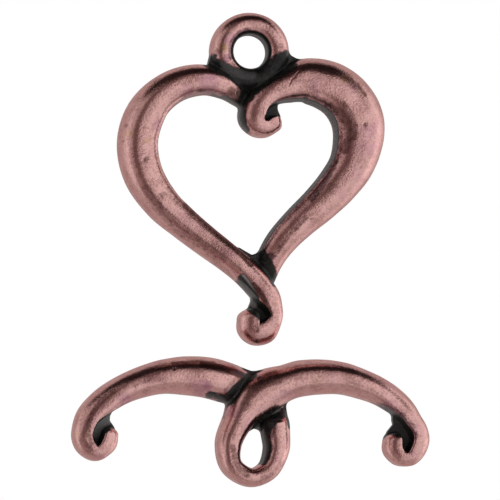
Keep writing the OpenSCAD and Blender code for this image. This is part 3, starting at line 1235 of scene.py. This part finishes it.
# Node graphs
class Wire:
    """Socket of a node graph that takes part in Python arithmetic."""

    def __init__(self, graph: "Graph", socket: bpy.types.NodeSocket) -> None:
        """Wraps a socket of a graph."""
        self.graph = graph
        self.socket = socket

    def _maths(self, operation: str, *values: "Wire | float") -> "Wire":
        """Returns the result of a Math node on the values."""
        node = self.graph.node("ShaderNodeMath", {"operation": operation}, dict(enumerate(values)))
        return Wire(self.graph, node.outputs[0])

    def __add__(self, other: "Wire | float") -> "Wire":
        """Returns self + other."""
        return self._maths("ADD", self, other)

    def __radd__(self, other: float) -> "Wire":
        """Returns other + self."""
        return self._maths("ADD", other, self)

    def __sub__(self, other: "Wire | float") -> "Wire":
        """Returns self - other."""
        return self._maths("SUBTRACT", self, other)

    def __rsub__(self, other: float) -> "Wire":
        """Returns other - self."""
        return self._maths("SUBTRACT", other, self)

    def __mul__(self, other: "Wire | float") -> "Wire":
        """Returns self * other."""
        return self._maths("MULTIPLY", self, other)

    def __rmul__(self, other: float) -> "Wire":
        """Returns other * self."""
        return self._maths("MULTIPLY", other, self)

    def rise(self, low: float, high: float) -> "Wire":
        """Turns the value into a smooth rise.

        Args:
            low: the value up to which the result is 0.
            high: the value from which the result is 1.

        Returns:
            The rise.
        """
        node = self.graph.node(
            "ShaderNodeMapRange",
            {"interpolation_type": "SMOOTHSTEP"},
            {"Value": self, "From Min": low, "From Max": high},
        )
        return Wire(self.graph, node.outputs["Result"])


class Graph:
    """Node graph that is cleared and built anew."""

    def __init__(self, tree: bpy.types.NodeTree) -> None:
        """Starts an empty graph in the tree."""
        self.tree = tree
        tree.nodes.clear()

    def node(self, kind: str, settings: dict | None = None, inputs: dict | None = None) -> bpy.types.Node:
        """Adds a node.

        Args:
            kind: the node's type.
            settings: its properties, set first.
            inputs: values or wires for its sockets, by name or number.

        Returns:
            The node.
        """
        made = self.tree.nodes.new(kind)
        for name, value in (settings or {}).items():
            setattr(made, name, value)
        for key, value in (inputs or {}).items():
            self.feed(made.inputs[key], value)
        return made

    def feed(self, socket: bpy.types.NodeSocket, value: object) -> None:
        """Gives a socket its value.

        Args:
            socket: the socket.
            value: a wire or another socket to link to it, or a constant to set on it.
        """
        if isinstance(value, Wire):
            self.tree.links.new(value.socket, socket)
        elif isinstance(value, bpy.types.NodeSocket):
            self.tree.links.new(value, socket)
        else:
            socket.default_value = value

    def wire(self, node: bpy.types.Node, output: str | int = 0) -> Wire:
        """Returns an output of a node as a wire."""
        return Wire(self, node.outputs[output])

    def blend(self, share: Wire | float, first: Wire | Colour, second: Wire | Colour) -> Wire:
        """Mixes two colours.

        Args:
            share: how much of the second, from 0 to 1.
            first: the colour where share is 0.
            second: the colour where share is 1.

        Returns:
            The mixed colour.
        """
        ends = [(*colour, 1.0) if isinstance(colour, tuple) else colour for colour in (first, second)]
        node = self.node("ShaderNodeMix", {"data_type": "RGBA"}, {0: share, 6: ends[0], 7: ends[1]})
        return Wire(self, node.outputs[2])

    def blend_value(self, share: Wire, first: Wire | float, second: Wire | float) -> Wire:
        """Returns first where share is 0 and second where it is 1, for plain numbers."""
        node = self.node("ShaderNodeMix", {"data_type": "FLOAT"}, {0: share, 2: first, 3: second})
        return Wire(self, node.outputs[0])

    def noise(self, place: Wire, scale: float, detail: float = 2.0, roughness: float = 0.5) -> Wire:
        """Makes an irregular pattern.

        Args:
            place: where it is read, in millimetres.
            scale: how many times it repeats in a millimetre.
            detail: how many finer patterns are added.
            roughness: how strong each of those is beside the one before.

        Returns:
            A value between 0 and 1, mostly near 0.5.
        """
        inputs = {"Vector": place, "Scale": scale, "Detail": detail, "Roughness": roughness}
        return Wire(self, self.node("ShaderNodeTexNoise", {}, inputs).outputs[0])

    def attribute(self, name: str) -> Wire:
        """Returns a value that the mesh carries."""
        return Wire(self, self.node("ShaderNodeAttribute", {"attribute_name": name}).outputs["Fac"])


# Finish
NOISE_MEAN = 0.5


@dataclass(frozen=True)
class AntiqueCopper:
    """Copper plate, blackened all over and then rubbed back to bright metal where the wheel reaches, with
    painted shade in brown and a painted grey reflection on the black.

    The names that end in rise are bands over which something goes from none to all, those in share say
    how strongly a colour covers the one under it, those in scale are for noise over millimetres, and
    those in fray say how much noise roughens an edge.
    """

    name: str = "antique_copper"
    # Colours of the bared metal, its stains and painted shade, the black, and the painted grey reflection on
    # the black
    bright: Colour = (0.82, 0.53, 0.505)
    deep: Colour = (0.45, 0.245, 0.225)
    edge: Colour = (0.95, 0.8, 0.78)
    stain_and_shade_brown: Colour = (0.13, 0.05, 0.04)
    plum: Colour = (0.14, 0.075, 0.095)
    violet: Colour = (0.5, 0.26, 0.36)
    straw: Colour = (0.62, 0.42, 0.24)
    black: Colour = (0.012, 0.016, 0.016)
    olive: Colour = (0.055, 0.06, 0.05)
    painted_reflection_grey: Colour = (0.5, 0.52, 0.515)
    # Sheen and grain
    bright_roughness: float = 0.22
    grain_roughness: float = 0.16
    stain_roughness: float = 0.12
    black_roughness: float = 0.31
    cloud_roughness: float = 0.1
    dull_roughness: float = 0.3
    black_gloss: float = 0.5
    grain_height: float = 0.024
    grain_scale: float = 6.5
    fine_scale: float = 15.0
    cloud_scale: float = 1.3
    drift_scale: float = 0.55
    fray_scale: float = 3.2
    # How the colours cover each other
    wear_contrast: float = 6.0
    wear_start: float = 0.25
    deep_share: float = 0.6
    tint_rise: Band = (0.3, 1.0)
    tint_share: float = 0.7
    drift_rise: Band = (0.52, 0.75)
    drift_share: float = 0.3
    stain_rise: Band = (0.15, 0.85)
    stain_share: float = 0.85
    fringe_rise: Band = (0.04, 0.42)
    fringe_share: float = 0.8
    grain_fray: float = 0.6
    fray: float = 1.2
    soft_fray: float = 0.5
    tint_fray: float = 0.8
    ragged_rise: Band = (0.26, 0.5)
    black_rise: Band = (0.36, 0.6)
    olive_rise: Band = (0.44, 0.62)

    def material(self) -> bpy.types.Material:
        """Returns the finish as a material, made on first use."""
        ready = bpy.data.materials.get(self.name)
        return ready if ready else self._make()

    def _make(self) -> bpy.types.Material:
        """Builds the material.

        Returns:
            The material.
        """
        made = bpy.data.materials.new(self.name)
        made.use_nodes = True
        graph = Graph(made.node_tree)
        metres = graph.node("ShaderNodeTexCoord").outputs["Object"]
        place = graph.node("ShaderNodeVectorMath", {"operation": "SCALE"}, {0: metres, "Scale": 1 / MM})
        place = graph.wire(place)
        grain = graph.noise(place, self.grain_scale, 3.0, 0.65)
        fine = graph.noise(place, self.fine_scale, 1.0)
        cloud = graph.noise(place, self.cloud_scale, 3.0, 0.6)
        drift = graph.noise(place, self.drift_scale, 2.0)
        fray = graph.noise(place, self.fray_scale, 3.0, 0.6)
        # Where each layer lies, with ragged edges
        ragged = (grain - NOISE_MEAN) * self.grain_fray + (fray - NOISE_MEAN) * self.fray
        patina = graph.attribute("patina")
        dull = graph.attribute("dull")
        black = (patina + ragged * patina.rise(*self.ragged_rise)).rise(*self.black_rise)
        fringe = (patina + ragged * self.soft_fray).rise(*self.fringe_rise)
        # Brown over real stains and over painted shade along the dark bands
        stain = (graph.attribute("stain") + ragged * self.soft_fray).rise(*self.stain_rise)
        violet = (graph.attribute("violet") + (cloud - NOISE_MEAN) * self.tint_fray).rise(*self.tint_rise)
        straw = (graph.attribute("straw") + (cloud - NOISE_MEAN) * self.tint_fray).rise(*self.tint_rise)
        mottle = grain * 0.35 + fine * 0.25 + cloud * 0.4 - NOISE_MEAN
        wear = (mottle * self.wear_contrast + self.wear_start).rise(0.0, 1.0)
        # Bared metal, its tints, stains and painted shade, then the black over it with its painted grey
        # reflection
        colour = graph.blend(wear * self.deep_share, self.bright, self.deep)
        violet = violet * self.tint_share + drift.rise(*self.drift_rise) * self.drift_share
        colour = graph.blend(violet, colour, self.violet)
        colour = graph.blend(straw * self.tint_share, colour, self.straw)
        colour = graph.blend(stain * self.stain_share, colour, self.stain_and_shade_brown)
        colour = graph.blend(fringe * self.fringe_share, colour, self.plum)
        soot = graph.blend((cloud * 0.5 + grain * 0.5).rise(*self.olive_rise), self.black, self.olive)
        # Painted reflection: grey over the black where low walls and recess floors would mirror the white
        # floor
        soot = graph.blend(dull, soot, self.painted_reflection_grey)
        height = grain * 0.7 + fine * 0.3
        relief = {"Strength": 1.0, "Distance": self.grain_height * MM, "Height": height}
        bump = graph.wire(graph.node("ShaderNodeBump", {}, relief))
        roughness = (grain - NOISE_MEAN) * self.grain_roughness + self.bright_roughness
        copper = graph.node(
            "ShaderNodeBsdfPrincipled",
            {},
            {
                "Base Color": colour,
                "Metallic": 1.0,
                "Roughness": roughness + stain * self.stain_roughness,
                "Specular Tint": (*self.edge, 1.0),
                "Normal": bump,
            },
        )
        roughness = cloud * self.cloud_roughness + dull * self.dull_roughness + self.black_roughness
        sooty = graph.node(
            "ShaderNodeBsdfPrincipled",
            {},
            {
                "Base Color": soot,
                "Roughness": roughness,
                "Specular IOR Level": self.black_gloss,
                "Normal": bump,
            },
        )
        both = graph.node("ShaderNodeMixShader", {}, {0: black, 1: copper.outputs[0], 2: sooty.outputs[0]})
        graph.node("ShaderNodeOutputMaterial", {}, {"Surface": both.outputs[0]})
        return made


# Studio
WHITE = (1.0, 1.0, 1.0, 1.0)


@dataclass(frozen=True)
class Card:
    """Card of one brightness round the object, as a cone of directions that hides what is behind it.

    tilt is the angle from straight up to the middle of the card, turn its direction on the table counted
    from +X, half_angle how far it reaches and softness how wide its edge is, all in degrees. level is its
    brightness beside white.
    """

    tilt: float
    turn: float
    half_angle: float
    level: float
    softness: float = 6.0

    def axis(self) -> tuple[float, float, float]:
        """Returns the direction of the cone's middle."""
        tilt, turn = math.radians(self.tilt), math.radians(self.turn)
        return (math.sin(tilt) * math.cos(turn), math.sin(tilt) * math.sin(turn), math.cos(tilt))


@dataclass(frozen=True)
class Studio:
    """Light tent with grey and dark cards, a white floor and a camera nearly overhead.

    tent is the brightness of the tent between the cards, and gamma brightens or darkens the whole picture.
    camera_left and camera_low are the degrees by which the camera leans from straight above, and view_width
    is what the picture spans at the target. Lengths are in metres, but sensor_width is in millimetres.
    """

    gamma: float = 0.83
    tent: float = 0.93
    cards: tuple[Card, ...] = (
        Card(99.0, 354.0, 22.0, 1.15, 9.0),
        Card(50.0, 308.0, 30.0, 0.77, 14.0),
        Card(150.0, 200.0, 62.0, 0.58, 12.0),
        Card(132.0, 78.0, 44.0, 0.62, 10.0),
        Card(95.0, 272.0, 45.0, 0.53, 10.0),
        Card(90.0, 184.0, 36.0, 0.88, 9.0),
        Card(66.0, 222.0, 31.0, 0.38, 8.0),
        Card(65.0, 150.0, 32.0, 0.58, 8.0),
        Card(24.0, 234.0, 14.0, 0.24, 6.0),
        Card(20.0, 114.0, 17.0, 0.22, 5.0),
        Card(27.0, 176.0, 25.0, 0.22, 6.0),
        Card(55.0, 63.0, 24.0, 0.18, 5.0),
        Card(66.0, 90.0, 34.0, 0.035, 5.0),
        Card(84.0, 82.0, 32.0, 0.025, 6.0),
        Card(98.0, 112.0, 25.0, 0.04, 6.0),
    )
    shade_tint: Colour = (1.0, 0.67, 0.64)
    light_tint: Colour = (1.0, 0.985, 0.98)
    tint_rise: Band = (0.0, 0.8)
    floor_half: float = 1.5
    floor_drop: float = 0.00002
    camera_left: float = 7.0
    camera_low: float = 3.0
    camera_distance: float = 0.45
    camera_clip: Band = (0.01, 10.0)
    sensor_width: float = 36.0
    view_width: float = 0.5 / 15.0
    target: tuple[float, float, float] = (0.0, 0.0, 0.0006)

    def light(self) -> None:
        """Lights the scene from all round with the tent and its cards."""
        world = bpy.data.worlds.new("light_tent")
        bpy.context.scene.world = world
        world.use_nodes = True
        graph = Graph(world.node_tree)
        direction = graph.node("ShaderNodeTexCoord").outputs["Generated"]
        level: Wire | float = self.tent
        for card in self.cards:
            ends = {0: direction, 1: card.axis()}
            dot = graph.wire(graph.node("ShaderNodeVectorMath", {"operation": "DOT_PRODUCT"}, ends), "Value")
            outer = math.cos(math.radians(card.half_angle + card.softness))
            inner = math.cos(math.radians(max(card.half_angle - card.softness, 0.0)))
            level = graph.blend_value(dot.rise(outer, inner), level, card.level)
        tint = graph.blend(level.rise(*self.tint_rise), self.shade_tint, self.light_tint)
        tent = graph.node("ShaderNodeBackground", {}, {"Color": tint, "Strength": level})
        paper = graph.node("ShaderNodeBackground", {}, {"Color": WHITE, "Strength": 1.0})
        seen = graph.node("ShaderNodeLightPath").outputs["Is Camera Ray"]
        both = graph.node("ShaderNodeMixShader", {}, {0: seen, 1: tent.outputs[0], 2: paper.outputs[0]})
        graph.node("ShaderNodeOutputWorld", {}, {"Surface": both.outputs[0]})

    def floor(self) -> bpy.types.Object:
        """Makes the white floor that the clasp lies on. It shows, but leaves the light as it is.

        Returns:
            The floor.
        """
        half, z = self.floor_half, -self.floor_drop
        corners = [(-half, -half, z), (half, -half, z), (half, half, z), (-half, half, z)]
        mesh = bpy.data.meshes.new("floor")
        mesh.from_pydata(corners, [], [(0, 1, 2, 3)])
        paint = bpy.data.materials.new("white_floor")
        paint.use_nodes = True
        graph = Graph(paint.node_tree)
        clear = graph.node("ShaderNodeBsdfTransparent")
        glow = graph.node("ShaderNodeEmission", {}, {"Color": WHITE, "Strength": 1.0})
        seen = graph.node("ShaderNodeLightPath").outputs["Is Camera Ray"]
        both = graph.node("ShaderNodeMixShader", {}, {0: seen, 1: clear.outputs[0], 2: glow.outputs[0]})
        graph.node("ShaderNodeOutputMaterial", {}, {"Surface": both.outputs[0]})
        mesh.materials.append(paint)
        made = bpy.data.objects.new("floor", mesh)
        bpy.context.scene.collection.objects.link(made)
        return made

    def camera(self) -> bpy.types.Object:
        """Makes the camera and sets it up as the scene's own.

        Returns:
            The camera.
        """
        left = math.tan(math.radians(self.camera_left))
        low = math.tan(math.radians(self.camera_low))
        back = Vector((-left, -low, 1.0)).normalized()
        lens = bpy.data.cameras.new("camera")
        lens.sensor_width = self.sensor_width
        lens.lens = self.sensor_width * self.camera_distance / self.view_width
        lens.clip_start, lens.clip_end = self.camera_clip
        made = bpy.data.objects.new("camera", lens)
        made.location = Vector(self.target) + back * self.camera_distance
        across = Vector((0.0, 1.0, 0.0)).cross(back).normalized()
        made.rotation_euler = Matrix((across, back.cross(across), back)).transposed().to_euler()
        bpy.context.scene.collection.objects.link(made)
        bpy.context.scene.camera = made
        return made

    def build(self) -> None:
        """Sets up light, floor and camera."""
        bpy.context.scene.view_settings.view_transform = "Standard"
        bpy.context.scene.view_settings.gamma = self.gamma
        self.light()
        self.floor()
        self.camera()


def main() -> None:
    """Builds the castings and the studio, and reports each piece."""
    logging.basicConfig(level=logging.INFO, format="%(message)s")
    Studio().build()
    finish = AntiqueCopper()
    for casting in (HeartRing.designed(), ToggleBar.designed()):
        made = casting.build(finish)
        corners = np.array([list(corner) for corner in made.bound_box]) / MM
        log.info("%s: from %s to %s mm", made.name, corners.min(0).round(2), corners.max(0).round(2))


if __name__ == "__main__":
    main()
